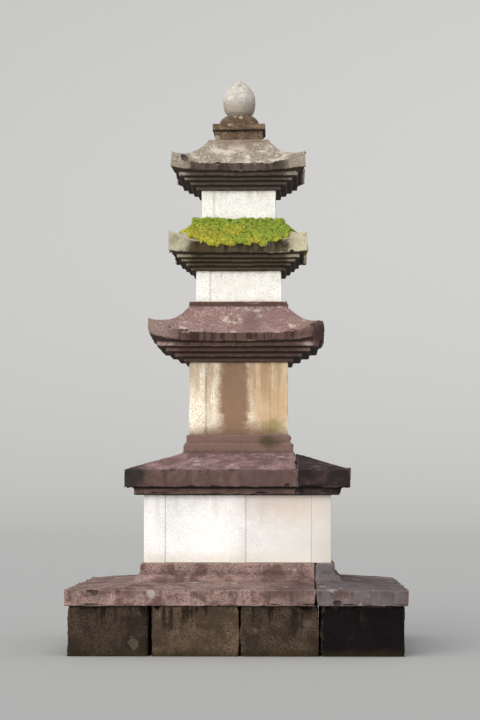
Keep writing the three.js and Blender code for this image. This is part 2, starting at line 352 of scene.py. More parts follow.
class Nodes:
    """Adds shader nodes to one tree. An input may be a value, a socket, or a node's first output."""

    def __init__(self, tree):
        self.tree = tree

    def feed(self, socket, value):
        if isinstance(value, bpy.types.Node):
            value = value.outputs[0]
        if isinstance(value, bpy.types.NodeSocket):
            self.tree.links.new(value, socket)
        else:
            socket.default_value = value

    def add(self, kind, inputs=(), **settings):
        node = self.tree.nodes.new("ShaderNode" + kind)
        set_values(node, settings)
        for key, value in dict(inputs).items():
            self.feed(node.inputs[key], value)
        return node

    def place(self, group, **inputs):
        node = self.add("Group", node_tree=bpy.data.node_groups[group])
        for label, value in inputs.items():
            self.feed(node.inputs[label.capitalize()], value)
        return node

    def math(self, operation, first, second=0.5):
        return self.add("Math", {0: first, 1: second}, operation=operation).outputs[0]

    def plus(self, first, second):
        return self.math("ADD", first, second)

    def minus(self, first, second):
        return self.math("SUBTRACT", first, second)

    def times(self, first, second):
        return self.math("MULTIPLY", first, second)

    def ease(self, value, low, high, start=0.0, end=1.0):
        """A value eased from start to end as it goes from low to high."""
        inputs = {0: value, 1: low, 2: high, 3: start, 4: end}
        return self.add("MapRange", inputs, interpolation_type="SMOOTHSTEP").outputs[0]

    def blend(self, amount, below, above, how="MIX"):
        node = self.add("Mix", data_type="RGBA", blend_type=how)
        for key, value in ((0, amount), (6, below), (7, above)):
            self.feed(node.inputs[key], value)
        return node.outputs[2]

    def noise(self, place, scale, detail=3.0, roughness=0.55, seed=0.0, distortion=0.0):
        inputs = {"Vector": place, "W": seed, "Scale": scale, "Detail": detail, "Roughness": roughness,
                  "Distortion": distortion}
        return self.add("TexNoise", inputs, noise_dimensions="4D").outputs[0]

    def stray(self, place, amount, scale, detail=5.0, roughness=0.65):
        """A noise about zero that makes a limit ragged, up to half the amount either way."""
        cloud = self.noise(place, scale, detail, roughness)
        return self.times(self.minus(cloud, 0.5), amount)

    def edge_for(self, cover):
        """The height at which to cut a noise so that about a given share of the surface is covered."""
        return self.add("MapRange", {0: cover, 1: 0.0, 2: 1.0, 3: 0.7, 4: 0.3}).outputs[0]

    def surface(self, colour, height, roughness, gloss, depth, strength):
        """Gives a material's own shader its colour and its fine relief."""
        bump = self.add("Bump", {"Height": height, "Distance": depth, "Strength": strength})
        inputs = {"Base Color": colour, "Roughness": roughness, "Specular IOR Level": gloss, "Normal": bump}
        for label, value in inputs.items():
            self.feed(self.tree.nodes["Principled BSDF"].inputs[label], value)

    def here(self):
        return self.add("TexCoord").outputs["Object"]

    def axes(self, place):
        return self.add("SeparateXYZ", {0: place}).outputs

    def marked(self, attribute):
        return self.add("Attribute", attribute_name=attribute).outputs["Fac"]

    def on_stone(self):
        """Object coordinates, shifted stone by stone so that no pattern runs on into a neighbour."""
        return self.add("VectorMath", {0: self.here(), 1: self.marked("shift")}, operation="ADD").outputs[0]


def make_group(name, inputs, build, **outputs):
    """A shader node group, which gives a mask unless other outputs are named, each with its kind.

    The kind of an input follows from its default value.
    """
    tree = bpy.data.node_groups.new(name, "ShaderNodeTree")
    for label, value in inputs.items():
        kind = "Float" if isinstance(value, float) else {3: "Vector", 4: "Color"}[len(value)]
        socket = tree.interface.new_socket(label, in_out="INPUT", socket_type="NodeSocket" + kind)
        socket.default_value = value
    for label, kind in (outputs or {"Mask": "Float"}).items():
        tree.interface.new_socket(label, in_out="OUTPUT", socket_type="NodeSocket" + kind)
    given = tree.nodes.new("NodeGroupInput").outputs
    result = tree.nodes.new("NodeGroupOutput").inputs
    nodes = Nodes(tree)
    for label, value in build(nodes, given).items():
        nodes.feed(result[label], value)


def granite(nodes, given):
    """Crystals of feldspar, grey quartz and dark mica, with slow changes of tone."""
    place = nodes.on_stone()
    crystals = nodes.add("TexVoronoi", {"Vector": place, "Scale": given["Crystals"]})
    random = nodes.add("SeparateColor", {0: crystals.outputs["Color"]}).outputs
    colour = nodes.blend(nodes.math("LESS_THAN", random[0], 0.4), given["Pale"], given["Grey"])
    colour = nodes.blend(nodes.math("LESS_THAN", random[1], 0.13), colour, given["Dark"])
    tone = nodes.ease(nodes.noise(place, 5.0, 6.0, 0.6), 0.3, 0.7, -0.2, 0.14)
    speckle = nodes.ease(nodes.noise(place, 42.0, 4.0, 0.7), 0.3, 0.7, -0.14, 0.1)
    change = nodes.times(nodes.plus(tone, speckle), given["Change"])
    colour = nodes.blend(1.0, colour, nodes.plus(1.0, change), "MULTIPLY")
    pits = nodes.noise(place, 95.0, 5.0, 0.7)
    return {"Colour": colour, "Height": nodes.plus(nodes.times(random[2], 0.25), pits)}


def blotches(nodes, given):
    """Ragged blotches of a given size; Cover is the share of the stone under them."""
    scale = nodes.math("DIVIDE", 1.0, given["Size"])
    cloud = nodes.noise(nodes.on_stone(), scale, 7.0, 0.66, given["Seed"], 0.35)
    edge = nodes.edge_for(given["Cover"])
    low = nodes.minus(edge, given["Soft"])
    high = nodes.plus(edge, given["Soft"])
    return {"Mask": nodes.ease(cloud, low, high)}


def lichen(nodes, given):
    """Crusts of many sizes with frayed rims, gathered into drifts, on a share of the places for them."""
    place = nodes.on_stone()
    fray = nodes.stray(place, 0.7, 55.0, 6.0, 0.75)
    drift = nodes.ease(nodes.noise(place, 3.5, 3.0, 0.6, 4.0), 0.4, 0.6, -0.16, 0.1)
    scale = nodes.math("DIVIDE", 1.0, given["Size"])
    inputs = {"Vector": place, "W": given["Seed"], "Scale": scale}
    cell = nodes.add("TexVoronoi", inputs, voronoi_dimensions="4D")
    random = nodes.add("SeparateColor", {0: cell.outputs["Color"]}).outputs
    reach = nodes.plus(nodes.ease(random[0], 0.0, 1.0, 0.05, 0.5), drift)
    gap = nodes.minus(nodes.plus(cell.outputs["Distance"], fray), reach)
    disc = nodes.ease(gap, 0.05, -0.05)
    mask = nodes.times(disc, nodes.math("LESS_THAN", random[1], given["Share"]))
    return {"Mask": mask}


def runs(nodes, given):
    """Streaks that water has left, from a height downwards, each with a length of its own."""
    x, y, z = nodes.axes(nodes.here())
    sway = nodes.times(nodes.noise(nodes.here(), 7.0, 2.0), 0.03)
    lane = nodes.add("CombineXYZ", {0: nodes.plus(x, sway), 1: nodes.plus(y, sway),
                                    2: nodes.times(z, 0.07)})
    scale = nodes.math("DIVIDE", 1.0, given["Width"])
    cloud = nodes.noise(lane, scale, 4.0, 0.6, given["Seed"])
    edge = nodes.edge_for(given["Cover"])
    streak = nodes.ease(cloud, nodes.minus(edge, 0.05), nodes.plus(edge, 0.07))
    drop = nodes.minus(given["Top"], z)
    uneven = nodes.ease(nodes.noise(lane, 9.0, 2.0), 0.3, 0.7, 0.35, 1.5)
    span = nodes.times(given["Length"], uneven)
    fade = nodes.ease(nodes.math("DIVIDE", drop, span), 0.15, 1.0, 1.0, 0.0)
    below = nodes.ease(drop, -0.012, 0.004)
    return {"Mask": nodes.times(nodes.times(streak, fade), below)}


def facing(nodes, given):
    """How far a face looks up, eased between two values of its normal's rise."""
    rise = nodes.axes(nodes.add("NewGeometry").outputs["Normal"])[2]
    value = nodes.plus(rise, nodes.stray(nodes.on_stone(), given["Ragged"], 24.0, 4.0))
    return {"Mask": nodes.ease(value, given["Start"], given["End"])}


def level_band(nodes, given):
    """A level band between two heights, with ragged soft limits."""
    z = nodes.axes(nodes.here())[2]
    height = nodes.plus(z, nodes.stray(nodes.on_stone(), given["Ragged"], 14.0))
    outside = nodes.times(given["Soft"], -1.0)
    above = nodes.ease(nodes.minus(height, given["Low"]), outside, given["Soft"])
    below = nodes.ease(nodes.minus(given["High"], height), outside, given["Soft"])
    return {"Mask": nodes.times(above, below)}


def towards_corners(nodes, given):
    """Grows towards the corners of a square round the middle; Start and End are shares of its half width."""
    x, y, _ = nodes.axes(nodes.here())
    nearer = nodes.math("MINIMUM", nodes.math("ABSOLUTE", x), nodes.math("ABSOLUTE", y))
    stray = nodes.stray(nodes.on_stone(), given["Ragged"], 18.0)
    share = nodes.plus(nodes.math("DIVIDE", nearer, given["Half"]), stray)
    return {"Mask": nodes.ease(share, given["Start"], given["End"])}


def local_patch(nodes, given):
    """A soft patch round one place, with a ragged outline."""
    away = nodes.add("VectorMath", {0: nodes.here(), 1: given["Centre"]}, operation="SUBTRACT").outputs[0]
    away = nodes.add("VectorMath", {0: away, 1: given["Reach"]}, operation="DIVIDE").outputs[0]
    distance = nodes.add("VectorMath", {0: away}, operation="LENGTH").outputs["Value"]
    value = nodes.plus(distance, nodes.stray(nodes.on_stone(), given["Ragged"], 13.0, 6.0, 0.68))
    return {"Mask": nodes.ease(value, 1.0, nodes.minus(1.0, given["Soft"]))}


def wear_and_shade_marks(nodes, _):
    """Where rims are rubbed, broken up by a fine grain, and the hollow places, darkened by settled dirt and
    by painted shade.
    """
    grain = nodes.ease(nodes.noise(nodes.on_stone(), 33.0, 5.0, 0.7), 0.35, 0.62)
    rim = nodes.ease(nodes.marked("rim"), 0.2, 0.9)
    hollow = nodes.ease(nodes.marked("hollow"), 0.08, 0.75)
    return {"Rims": nodes.times(rim, grain), "Hollows": hollow}


COLOUR = {"Pale": (0.6, 0.55, 0.5, 1.0), "Grey": (0.4, 0.38, 0.36, 1.0), "Dark": (0.1, 0.09, 0.08, 1.0)}
make_group("granite", {**COLOUR, "Crystals": 230.0, "Change": 1.0}, granite, Colour="Color", Height="Float")
make_group("blotches", {"Size": 0.1, "Cover": 0.5, "Soft": 0.05, "Seed": 0.0}, blotches)
make_group("lichen", {"Size": 0.07, "Share": 0.3, "Seed": 0.0}, lichen)
make_group("runs", {"Top": 1.0, "Length": 0.3, "Width": 0.04, "Cover": 0.4, "Seed": 0.0}, runs)
make_group("facing", {"Start": 0.3, "End": 0.8, "Ragged": 0.5}, facing)
make_group("level band", {"Low": 0.0, "High": 1.0, "Soft": 0.02, "Ragged": 0.05}, level_band)
make_group("towards corners", {"Half": 0.5, "Start": 0.7, "End": 0.9, "Ragged": 0.2}, towards_corners)
make_group("local patch", {"Centre": (0.0, 0.0, 0.0), "Reach": (0.1, 0.1, 0.1), "Soft": 0.4, "Ragged": 0.6},
           local_patch)
make_group("wear and shade marks", {}, wear_and_shade_marks, Rims="Float", Hollows="Float")


def paint(red, green, blue):
    """A shader colour from a colour on a screen."""
    def linear(value):
        value /= 255
        return value / 12.92 if value <= 0.04045 else ((value + 0.055) / 1.055) ** 2.4
    return (linear(red), linear(green), linear(blue), 1.0)


def new_material(name):
    material = bpy.data.materials.new(name)
    material.use_nodes = True
    return material


class Finish:
    """One stone's finish: granite with layers of weathering and of painted shade over it, put on from the
    lowest up.

    Every colour is given as it looks on a screen, with red, green and blue from 0 to 255.
    """

    def __init__(self, name, pale, grey, dark, crystals=230.0, change=1.0):
        self.material = new_material(name)
        self.nodes = Nodes(self.material.node_tree)
        ground = self.nodes.place("granite", pale=paint(*pale), grey=paint(*grey), dark=paint(*dark),
                                  crystals=crystals, change=change)
        self.colour = ground.outputs["Colour"]
        self.relief = ground.outputs["Height"]
        marks = self.nodes.place("wear and shade marks")
        self.rims = marks.outputs["Rims"]
        # The hollow places take settled dirt and painted shade
        self.hollow_dirt_and_shade = marks.outputs["Hollows"]
        self.tone = self.nodes.marked("tone")

    def mask(self, group, **values):
        return self.nodes.place(group, **values).outputs["Mask"]

    def patch(self, centre, reach, soft, ragged):
        """A mask round one place, as far as its reach along each axis."""
        return self.mask("local patch", centre=centre, reach=reach, soft=soft, ragged=ragged)

    def without(self, mask):
        return self.nodes.minus(1.0, mask)

    def layer(self, colour, strength, *masks, raised=0.0):
        """Lays a colour over what is there, as strongly as all its masks together allow."""
        amount = strength
        for mask in masks:
            amount = self.nodes.times(amount, mask)
        self.colour = self.nodes.blend(amount, self.colour, paint(*colour))
        if raised:
            self.relief = self.nodes.plus(self.relief, self.nodes.times(amount, raised))

    def close(self, roughness=0.93, depth=0.003, strength=0.55, gloss=0.25):
        self.nodes.surface(self.colour, self.relief, roughness, gloss, depth, strength)
        return self.material


# Finishes

# The moss is greener to the right and above this height, by so much for each metre either way
MOSS_MIDDLE = 2.8
GREENER_RIGHT = 0.35
GREENER_UP = 1.6

# The rims of the roofs, where they are rubbed bare
RUBBED = (172, 152, 134)

# The colours of each roof, and its patches: the colour of each, the place of its middle and its reach
ROOF_LOOKS = {
    "first_roof": dict(
        slope=(177, 146, 140), stain=(135, 105, 99), crust_and_shade=(83, 62, 53), deep=(46, 33, 28),
        tips=(138, 120, 110), pale_cover=0.25,
        patches=[((118, 92, 90), (0.1, -0.55, 2.22), (0.11, 0.4, 0.12)),
                 ((70, 46, 42), (0.56, -0.56, 2.12), (0.17, 0.3, 0.12))],
    ),
    "second_roof": dict(
        slope=(190, 182, 156), stain=(149, 138, 111), crust_and_shade=(71, 58, 40), deep=(33, 27, 20),
        tips=(200, 192, 160), pale_cover=0.4,
        patches=[((136, 134, 88), (0.0, -0.4, 2.84), (0.44, 0.3, 0.09)),
                 ((70, 58, 38), (-0.25, -0.48, 2.7), (0.16, 0.1, 0.05))],
    ),
    "third_roof": dict(
        slope=(184, 172, 156), stain=(141, 125, 109), crust_and_shade=(75, 64, 55), deep=(47, 38, 33),
        tips=(140, 130, 114), pale_cover=0.4,
        patches=[((128, 112, 96), (0.0, -0.15, 3.47), (0.26, 0.24, 0.1))],
    ),
}


def course_finish():
    """Nearly black stones, dark with damp and with painted shade from the lower cap's overhang; the brown
    ones have a tone near 1.
    """
    stone = Finish("course stone", (112, 92, 74), (89, 74, 60), (36, 31, 27))
    stone.layer((62, 50, 41), 0.75, stone.mask("blotches", size=0.16, cover=0.5, soft=0.09, seed=1.0))
    stone.layer((15, 11, 15), 0.96, stone.without(stone.tone),
                stone.mask("blotches", size=0.22, cover=0.95, soft=0.12, seed=2.0))
    # Dark runs from just under the lower cap: water streaks, and painted shade under its overhang
    stone.layer((18, 15, 12), 0.8, stone.mask("runs", top=0.335, length=0.2, width=0.035, cover=0.42))
    stone.layer((96, 91, 75), 0.5, stone.mask("lichen", size=0.075, share=0.22, seed=3.0), raised=0.5)
    stone.layer((116, 100, 79), 0.4, stone.rims)
    # Dark joints, settled dirt and painted shade in the hollows
    stone.layer((14, 11, 10), 0.85, stone.hollow_dirt_and_shade)
    stone.layer((46, 41, 22), 0.6, stone.mask("level band", low=-0.1, high=0.035, soft=0.03, ragged=0.09))
    return stone.close(roughness=0.86, depth=0.005, strength=0.7, gloss=0.06)


def lower_cap_finish():
    """Pinkish brown slabs, greyer as the tone falls, with dark streaks on their upright edges that are partly
    painted shade, painted shade underneath, and dirt with painted shade in their hollow places.
    """
    stone = Finish("lower cap stone", (170, 139, 129), (145, 119, 113), (63, 52, 49))
    stone.layer((88, 87, 92), 0.92, stone.without(stone.tone),
                stone.mask("blotches", size=0.2, cover=0.85, soft=0.15, seed=1.0))
    stone.layer((94, 68, 60), 0.8, stone.mask("blotches", size=0.13, cover=0.42, soft=0.07, seed=2.0))
    stone.layer((84, 64, 60), 0.75, stone.patch((0.36, -1.1, 0.5), (0.26, 0.7, 0.3), soft=0.8, ragged=0.6))
    # Dark streaks on the upright edges: stains, and painted shade of the faces that look sideways
    edge = stone.mask("facing", start=0.75, end=0.25, ragged=0.3)
    stone.layer((75, 55, 51), 0.6, edge, stone.mask("runs", top=0.43, length=0.12, width=0.05, cover=0.5))
    stone.layer((179, 172, 163), 0.6, stone.mask("lichen", size=0.085, share=0.2, seed=3.0), raised=0.5)
    # Settled dirt and painted shade in the hollows
    stone.layer((53, 41, 36), 0.85, stone.hollow_dirt_and_shade)
    stone.layer((186, 163, 153), 0.5, stone.rims)
    # Painted shade on the faces that look down
    stone.layer((33, 24, 22), 0.9, stone.mask("facing", start=-0.3, end=-0.7, ragged=0.3))
    return stone.close()


def wall_finish():
    """New white granite, finely tooled, with the first rain and splash stains, and greyer to the right with
    painted shade.
    """
    stone = Finish("wall stone", (254, 252, 248), (247, 244, 238), (216, 210, 202), crystals=300.0,
                   change=0.25)
    # Greyer towards the right: painted shade, the light falling from the left
    stone.layer((212, 206, 196), 0.9,
                stone.patch((0.7, -0.63, 0.75), (0.95, 0.3, 0.7), soft=0.95, ragged=0.4))
    stone.layer((216, 190, 174), 0.6,
                stone.patch((0.32, -0.63, 0.98), (0.5, 0.3, 0.2), soft=0.95, ragged=0.8))
    stone.layer((226, 214, 200), 0.7, stone.mask("level band", low=0.5, high=0.64, soft=0.05, ragged=0.1))
    stone.layer((214, 204, 190), 0.45, stone.mask("runs", top=1.04, length=0.26, width=0.05, cover=0.36))
    stone.layer((226, 220, 206), 0.5, stone.mask("blotches", size=0.12, cover=0.3, soft=0.1, seed=2.0))
    # Settled dirt and painted shade in the hollows
    stone.layer((206, 196, 184), 0.6, stone.hollow_dirt_and_shade)
    return stone.close(roughness=0.85, depth=0.002, strength=0.4)


def upper_cap_finish():
    """Pinkish slope over an edge darkened by crust and by painted shade; nearly black where the tone is 0;
    painted shade underneath and, with dirt, in its hollow places.
    """
    stone = Finish("upper cap stone", (170, 137, 136), (142, 115, 114), (60, 49, 48))
    stone.layer((101, 76, 72), 0.75, stone.mask("blotches", size=0.12, cover=0.45, soft=0.07, seed=1.0))
    stone.layer((189, 174, 170), 0.55, stone.mask("lichen", size=0.08, share=0.22, seed=3.0), raised=0.5)
    side = stone.mask("facing", start=0.82, end=0.5, ragged=0.25)
    # The upright edge darker all over: crust, and painted shade of the faces that look sideways
    stone.layer((101, 79, 72), 0.92, side)
    stone.layer((85, 63, 57), 0.7, side, stone.mask("blotches", size=0.09, cover=0.45, soft=0.08, seed=9.0))
    stone.layer((55, 40, 37), 0.6, side, stone.mask("runs", top=1.215, length=0.15, width=0.06, cover=0.4))
    stone.layer((111, 95, 82), 0.45, side, stone.mask("lichen", size=0.06, share=0.3, seed=5.0), raised=0.4)
    stone.layer((128, 101, 92), 0.75, stone.mask("level band", low=1.32, high=1.6, soft=0.01, ragged=0.02))
    stone.layer((66, 60, 34), 0.8, stone.patch((0.21, -0.37, 1.4), (0.12, 0.1, 0.07), soft=0.8, ragged=0.9))
    stone.layer((80, 62, 61), 0.5, side,
                stone.patch((0.2, -0.75, 1.15), (0.24, 0.3, 0.14), soft=0.8, ragged=0.5))
    stone.layer((27, 22, 23), 0.9, stone.without(stone.tone),
                stone.mask("blotches", size=0.2, cover=0.95, soft=0.14, seed=6.0))
    stone.layer((31, 30, 24), 0.85,
                stone.patch((-0.76, -0.76, 1.17), (0.23, 0.4, 0.16), soft=0.6, ragged=0.6))
    # Settled dirt and painted shade in the hollows
    stone.layer((55, 41, 37), 0.7, stone.hollow_dirt_and_shade)
    stone.layer((176, 150, 140), 0.4, stone.rims)
    # Painted shade on the faces that look down
    stone.layer((27, 20, 19), 0.92, stone.mask("facing", start=-0.3, end=-0.7, ragged=0.3))
    return stone.close()


def first_body_finish():
    """Cream at the left, a brown run-off strip down the middle and tan at the right."""
    stone = Finish("first body stone", (255, 246, 226), (250, 234, 208), (190, 166, 138), crystals=250.0,
                   change=0.6)
    stone.layer((198, 163, 120), 0.87,
                stone.patch((0.22, -0.35, 1.72), (0.2, 0.5, 0.55), soft=0.6, ragged=0.5))
    stone.layer((222, 200, 170), 0.55, stone.mask("blotches", size=0.14, cover=0.38, soft=0.1, seed=1.0))
    stone.layer((131, 97, 70), 0.92,
                stone.patch((-0.03, -0.35, 1.72), (0.138, 0.12, 0.6), soft=0.45, ragged=0.7))
    stone.layer((134, 106, 84), 0.9,
                stone.patch((0.0, -0.35, 1.42), (0.42, 0.15, 0.17), soft=0.8, ragged=0.9))
    stone.layer((162, 132, 98), 0.6,
                stone.mask("runs", top=1.95, length=0.42, width=0.06, cover=0.36, seed=2.0))
    stone.layer((120, 116, 66), 0.6, stone.patch((0.24, -0.35, 1.5), (0.12, 0.1, 0.09), soft=0.8, ragged=0.9))
    stone.layer((120, 92, 74), 0.7, stone.mask("level band", low=1.3, high=1.475, soft=0.03, ragged=0.09))
    # Settled dirt and painted shade in the hollows
    stone.layer((92, 72, 56), 0.7, stone.hollow_dirt_and_shade)
    stone.layer((250, 238, 220), 0.4, stone.rims)
    return stone.close(roughness=0.9)


def upper_body_finish(body):
    """Pale stone, clean in the middle and grey along its head and foot, the grey at its head partly painted
    shade under the roof above.
    """
    low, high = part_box(body)
    stone = Finish(body.replace("_", " ") + " stone", (254, 252, 245), (247, 244, 234), (206, 200, 186),
                   crystals=270.0, change=0.35)
    stone.layer((222, 216, 198), 0.6,
                stone.mask("level band", low=low.z - 0.2, high=low.z + 0.015, soft=0.02, ragged=0.05))
    # Grey runs from the head: water streaks, and painted shade under the roof above
    stone.layer((214, 207, 186), 0.7, stone.mask("runs", top=high.z, length=0.07, width=0.045, cover=0.45))
    stone.layer((230, 225, 208), 0.5, stone.mask("blotches", size=0.09, cover=0.32, soft=0.08, seed=2.0))
    # Settled dirt and painted shade in the hollows
    stone.layer((190, 180, 156), 0.6, stone.hollow_dirt_and_shade)
    return stone.close(roughness=0.9)


def roof_finish(roof, slope, stain, crust_and_shade, deep, tips, pale_cover, patches):
    """A weathered slope over eaves and corbels that a dark crust and painted shade cover, all but the corner
    tips, darker still underneath.
    """
    low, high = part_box(roof)
    sizes = ROOFS[roof]
    eave = low.z + sizes["corbels"]
    edge_top = eave + sizes["edge"]
    half = sizes["width"] / 2
    stone = Finish(roof.replace("_", " ") + " stone", slope, stain, (60, 50, 46))
    stone.layer(stain, 0.7, stone.mask("blotches", size=0.1, cover=0.42, soft=0.06, seed=1.0))
    stone.layer((206, 196, 180), 0.75,
                stone.mask("blotches", size=0.12, cover=pale_cover, soft=0.035, seed=4.0),
                stone.mask("facing", start=0.3, end=0.6, ragged=0.3), raised=0.3)
    stone.layer((216, 208, 194), 0.6, stone.mask("lichen", size=0.065, share=0.24, seed=3.0), raised=0.5)
    corners = stone.mask("towards corners", half=half, start=0.62, end=0.86, ragged=0.25)
    shaded = stone.mask("facing", start=0.55, end=0.2, ragged=0.35)
    # Crust and painted shade on the faces that don't look up, all but the corner tips
    stone.layer(crust_and_shade, 0.93, shaded, stone.without(corners))
    stone.layer(deep, 0.85, shaded, stone.without(corners),
                stone.mask("runs", top=edge_top, length=0.12, width=0.04, cover=0.5, seed=7.0))
    stone.layer(tips, 0.6, corners,
                stone.mask("level band", low=eave - 0.01, high=high.z, soft=0.02, ragged=0.05),
                stone.mask("blotches", size=0.08, cover=0.62, soft=0.08, seed=8.0))
    # Crust and painted shade, darker, on the faces that look down
    stone.layer(deep, 0.9, stone.mask("facing", start=-0.35, end=-0.75, ragged=0.3))
    for colour, centre, reach in patches:
        stone.layer(colour, 0.85, stone.patch(centre, reach, soft=0.7, ragged=0.7))
    # Settled dirt and painted shade in the hollows
    stone.layer(deep, 0.7, stone.hollow_dirt_and_shade)
    stone.layer(RUBBED, 0.4, stone.rims)
    return stone.close()


def moss_finish():
    """Moss: yellow green, greener to the right and above, darker olive as painted shade in its hollow places,
    with paler fresh tips.
    """
    material = new_material("moss")
    nodes = Nodes(material.node_tree)
    place = nodes.here()
    x, _, z = nodes.axes(place)
    upwards = nodes.times(nodes.minus(z, MOSS_MIDDLE), GREENER_UP)
    slant = nodes.plus(nodes.times(x, GREENER_RIGHT), upwards)
    patchy = nodes.plus(nodes.noise(place, 10.0, 4.0, 0.6), slant)
    colour = nodes.blend(nodes.ease(patchy, 0.35, 0.65), paint(195, 185, 66), paint(147, 171, 64))
    for spread, low, high, strength, above in (
        (nodes.noise(place, 70.0, 5.0, 0.7, 2.0), 0.45, 0.62, 0.8, paint(124, 134, 48)),
        (nodes.noise(place, 17.0, 5.0, 0.65, 5.0), 0.55, 0.68, 0.7, paint(164, 140, 70)),
        (nodes.marked("fresh"), 0.3, 1.0, 0.85, paint(216, 219, 118)),
        # Painted shade in the hollows of the mat
        (nodes.marked("hollow"), 0.05, 0.7, 0.9, paint(84, 86, 36)),
    ):
        colour = nodes.blend(nodes.ease(spread, low, high, 0.0, strength), colour, above)
    fuzz = nodes.noise(place, 210.0, 4.0, 0.8)
    nodes.surface(colour, fuzz, roughness=1.0, gloss=0.1, depth=0.006, strength=0.9)
    return material


def finial_finish():
    """Brown stone with dark stains and a little green, with painted shade underneath and, with dirt, in its
    hollow places.
    """
    stone = Finish("finial stone", (138, 115, 91), (111, 92, 74), (49, 41, 35))
    stone.layer((79, 62, 48), 0.8, stone.mask("blotches", size=0.09, cover=0.5, soft=0.07, seed=1.0))
    stone.layer((90, 92, 52), 0.5, stone.mask("blotches", size=0.07, cover=0.3, soft=0.05, seed=2.0))
    stone.layer((178, 170, 148), 0.6, stone.mask("lichen", size=0.05, share=0.25, seed=3.0), raised=0.5)
    # Painted shade on the faces that look down
    stone.layer((37, 30, 24), 0.85, stone.mask("facing", start=-0.2, end=-0.6, ragged=0.3))
    # Settled dirt and painted shade in the hollows
    stone.layer((41, 32, 25), 0.8, stone.hollow_dirt_and_shade)
    return stone.close()


def jewel_finish():
    """Light grey stone, browner towards its foot."""
    stone = Finish("jewel stone", (218, 214, 204), (204, 198, 189), (139, 130, 122), 250.0)
    stone.layer((155, 137, 123), 0.7, stone.mask("level band", low=3.4, high=3.765, soft=0.03, ragged=0.09))
    stone.layer((176, 165, 150), 0.6, stone.mask("blotches", size=0.06, cover=0.4, soft=0.07, seed=2.0))
    stone.layer((148, 137, 114), 0.6, stone.mask("runs", top=3.9, length=0.14, width=0.03, cover=0.35))
    # Settled dirt and painted shade in the hollows
    stone.layer((101, 89, 77), 0.7, stone.hollow_dirt_and_shade)
    return stone.close(roughness=0.85)


# The pagoda's stones, from the ground up

# Lumps, each with its place and size, where a raised corner has lost its point
CORNER_BREAKS = {"second_roof": [(Vector((0.49, -0.49, 2.85)), 0.085), (Vector((0.5, -0.42, 2.83)), 0.045)]}

# Tones of the course stones seen from the front; the others take one each, step by step, below a limit
COURSE_TONES = {"corner_front_right": 0.0, "corner_front_left": 0.4, "front_a": 0.95, "front_b": 0.5}
TONE_STEP = 0.37
TONE_LIMIT = 0.8

# Tones of the slabs of the caps: the right ones are grey or nearly black
LOWER_CAP_TONES = {"front": 0.9, "right": 0.12, "back": 0.9, "left": 0.9}
UPPER_CAP_TONES = {"upper_cap_main": 1.0, "upper_cap_right": 0.0}


def add_course():
    """Twelve stones round a hollow middle."""
    finish = course_finish()
    names = ["corner_" + corner for corner in CORNERS] + [side + "_" + end for side in SIDES for end in "ab"]
    for number, name in enumerate(names, NUMBERS["course"]):
        tone = COURSE_TONES.get(name, (number * TONE_STEP) % TONE_LIMIT)
        worn_stone("course_" + name, "course", finish, number, count=7, sizes=(0.03, 0.07), tone=tone)


def add_lower_cap():
    finish = lower_cap_finish()
    low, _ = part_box("lower_cap_front")
    for number, (side, tone) in enumerate(LOWER_CAP_TONES.items(), NUMBERS["lower_cap"]):
        lumps = lumps_on_rims("lower_cap", number, -low.y, low.z + LOWER_CAP_EDGE, low.z)
        worn_stone("lower_cap_" + side, "lower_cap", finish, number, lumps, tone=tone)


def add_walls():
    """The new wall slabs keep their crisp rims."""
    finish = wall_finish()
    for number, side in enumerate(SIDES, NUMBERS["wall"]):
        node = "wall_" + side
        piece = copy_of(node, "trimmed_" + node)
        apply_modifier(piece, "BEVEL", width=WALL_BEVEL, segments=2, limit_method="ANGLE",
                       angle_limit=math.radians(40))
        add_attribute(piece, "rim", 0.0)
        add_attribute(piece, "hollow", 0.0)
        select_only(piece)
        bpy.ops.object.shade_smooth_by_angle(angle=math.radians(30))
        stand_for(piece, node, finish, number)


def add_upper_cap():
    finish = upper_cap_finish()
    low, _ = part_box("upper_cap_main")
    foot = low.z + UPPER_CAP_FILLET
    for number, (node, tone) in enumerate(UPPER_CAP_TONES.items(), NUMBERS["upper_cap"]):
        lumps = lumps_on_rims("upper_cap", number, -low.x, foot + UPPER_CAP_EDGE, foot)
        worn_stone(node, "upper_cap", finish, number, lumps, tone=tone)


def add_bodies():
    worn_stone("first_body", "body", first_body_finish(), NUMBERS["body"], count=9, sizes=(0.012, 0.028))
    for number, node in enumerate(("second_body", "third_body"), NUMBERS["body"] + 1):
        worn_stone(node, "body", upper_body_finish(node), number, count=8, sizes=(0.01, 0.022))


def add_roofs():
    """The three roof stones, by the names of their nodes."""
    roofs = {}
    for number, (node, look) in enumerate(ROOF_LOOKS.items(), NUMBERS["roof"]):
        low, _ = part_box(node)
        sizes = ROOFS[node]
        eave = low.z + sizes["corbels"]
        half = sizes["width"] / 2 - RIM_INSET
        lumps = lumps_on_rims("roof", number, half, eave + sizes["edge"], eave, sizes["lift"])
        lumps += CORNER_BREAKS.get(node, [])
        finish = roof_finish(node, **look)
        roofs[node] = worn_stone(node, "roof", finish, number, lumps, shelter=eave - EAVE_SHELTER)
    return roofs


def add_finial():
    finish = finial_finish()
    number = NUMBERS["finial"]
    worn_stone("finial_base", "finial", finish, number, count=8, sizes=(0.015, 0.03))
    worn_stone("finial_bowl", "finial", finish, number + 1, [])
    worn_stone("finial_jewel", "finial", jewel_finish(), number + 2, [])


# Moss on the second roof

# How far it reaches from the middle of each side at the eave, and how much further for each metre above
MOSS_REACH = 0.31
MOSS_WIDENING = 0.5

# How far it hangs over the eave, and how its edge there rises, for each metre outside a flat stretch
MOSS_HANG = 0.03
HANG_FLAT = 0.18
HANG_RISE = 0.3

# It ends this far below the stone's top, on faces that look down more than this, and at the hips only where
# its limits stray in far enough to pass this margin
MOSS_TOP = 0.004
MOSS_FACING = -0.1
HIP_MARGIN = 0.055

